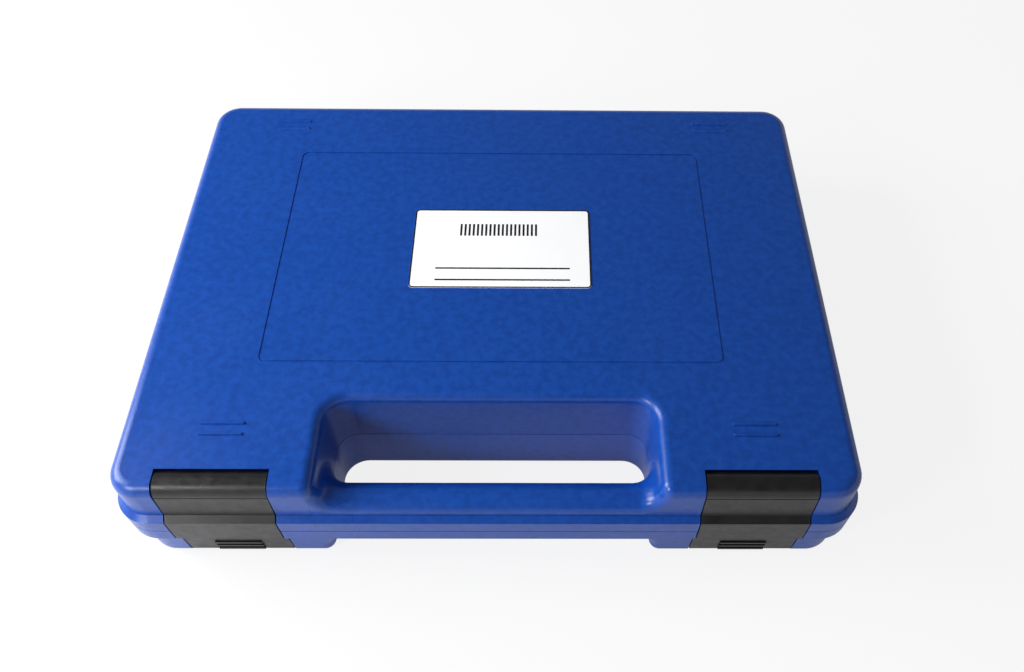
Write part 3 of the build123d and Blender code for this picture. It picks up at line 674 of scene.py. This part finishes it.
# %% [markdown]
# The object lies on a plain white floor. A background is white because of what the camera
# is shown, and not because of more light on the object, so the rays are told apart. Rays
# from the camera, from gloss or through glass see a thing directly, and all the others
# carry the light that falls on things.

# %% Which rays see a thing directly


def seen_directly(tree):
    """1 for rays from the camera, from gloss or through glass, and otherwise 0."""
    rays = add_node(tree, "ShaderNodeLightPath").outputs
    direct = calculate(tree, "MAXIMUM", rays["Is Camera Ray"], rays["Is Glossy Ray"])
    return calculate(tree, "MAXIMUM", direct, rays["Is Transmission Ray"])


# %% [markdown]
# Part of the floor is an even white glow, and the rest is matt paint that keeps the soft
# shadow under the case. The camera sees mostly the glow. Gloss sees less of it, by a
# given share.

# %% Floor
FLOOR_SIZE, FLOOR_DROP = 6.0, 0.02 * MM
GLOSS_SHARE, CAMERA_SHARE = 0.25, 0.85

floor = start_piece(
    "floor",
    bpy.ops.mesh.primitive_plane_add,
    size=FLOOR_SIZE,
    location=(0, 0, -FLOOR_DROP),
)
floor_paint, tree, shader = new_material("white_sweep", Roughness=0.9)
white = tint(tree, grain(tree, 90), "#FBFBFB", "#FDFDFD")
tree.links.new(white, shader.inputs["Base Color"])
camera_ray = add_node(tree, "ShaderNodeLightPath").outputs["Is Camera Ray"]
gloss_share = calculate(tree, "MULTIPLY", seen_directly(tree), GLOSS_SHARE)
camera_share = calculate(tree, "MULTIPLY", camera_ray, CAMERA_SHARE)
share = calculate(tree, "MAXIMUM", gloss_share, camera_share)
glow = add_node(tree, "ShaderNodeEmission", {"Strength": 1.0})
mixed = add_node(
    tree,
    "ShaderNodeMixShader",
    links={0: share, 1: shader.outputs["BSDF"], 2: glow.outputs["Emission"]},
)
tree.links.new(mixed.outputs["Shader"], tree.nodes["Material Output"].inputs["Surface"])
floor.data.materials.append(floor_paint)
print("floor", FLOOR_SIZE, "m")

# %% [markdown]
# The sky lights things evenly, and the camera sees it white. Gloss and glass don't see
# that same white: they see a bright horizon that falls off to a dark ceiling, because a
# white ceiling lay on the blue like a veil that the photograph doesn't have. The two
# heights are the Z of the direction, from 0 at the horizon to 1 straight up.

# %% Sky
SKY_LIGHT, CEILING = 0.2, 0.15
HORIZON_TOP, CEILING_EDGE = 0.12, 0.42

world = bpy.data.worlds.new("studio")
scene.world = world
world.use_nodes = True
tree = world.node_tree
tree.nodes.clear()
direction = add_node(tree, "ShaderNodeTexCoord").outputs["Generated"]
height = add_node(tree, "ShaderNodeSeparateXYZ", links={"Vector": direction}).outputs["Z"]
fall = {"From Min": HORIZON_TOP, "From Max": CEILING_EDGE, "To Min": 1.0, "To Max": CEILING}
reflected = add_node(tree, "ShaderNodeMapRange", fall, {"Value": height}).outputs["Result"]
camera_ray = add_node(tree, "ShaderNodeLightPath").outputs["Is Camera Ray"]
backdrop = calculate(tree, "MAXIMUM", reflected, camera_ray)
strength = add_node(
    tree,
    "ShaderNodeMapRange",
    {"To Min": SKY_LIGHT},
    {"Value": seen_directly(tree), "To Max": backdrop},
).outputs["Result"]
sky = add_node(
    tree, "ShaderNodeBackground", {"Color": (1, 1, 1, 1)}, {"Strength": strength}
)
add_node(tree, "ShaderNodeOutputWorld", links={"Surface": sky.outputs["Background"]})
print("sky light", SKY_LIGHT)

# %% [markdown]
# Two square lamps stand on the left, so that the light falls off from left to right as in
# the photograph. Both keep out of the direction in which the flat lid mirrors the camera,
# or they would lie on the blue as a pale patch.

# %% Lamps
AIM = Vector((0, 0, 0.03))


def softbox(name, place, size, power):
    """A square lamp that faces the middle of the case."""
    bpy.ops.object.light_add(type="AREA", location=place)
    lamp = bpy.context.object
    lamp.name = name
    lamp.data.shape = "SQUARE"
    lamp.data.size = size
    lamp.data.energy = power
    lamp.rotation_euler = (AIM - Vector(place)).to_track_quat("-Z", "Y").to_euler()


softbox("softbox_left", place=(-0.70, 0.02, 0.42), size=0.45, power=6.9)
softbox("softbox_front", place=(-0.47, -0.48, 0.42), size=0.2, power=2.2)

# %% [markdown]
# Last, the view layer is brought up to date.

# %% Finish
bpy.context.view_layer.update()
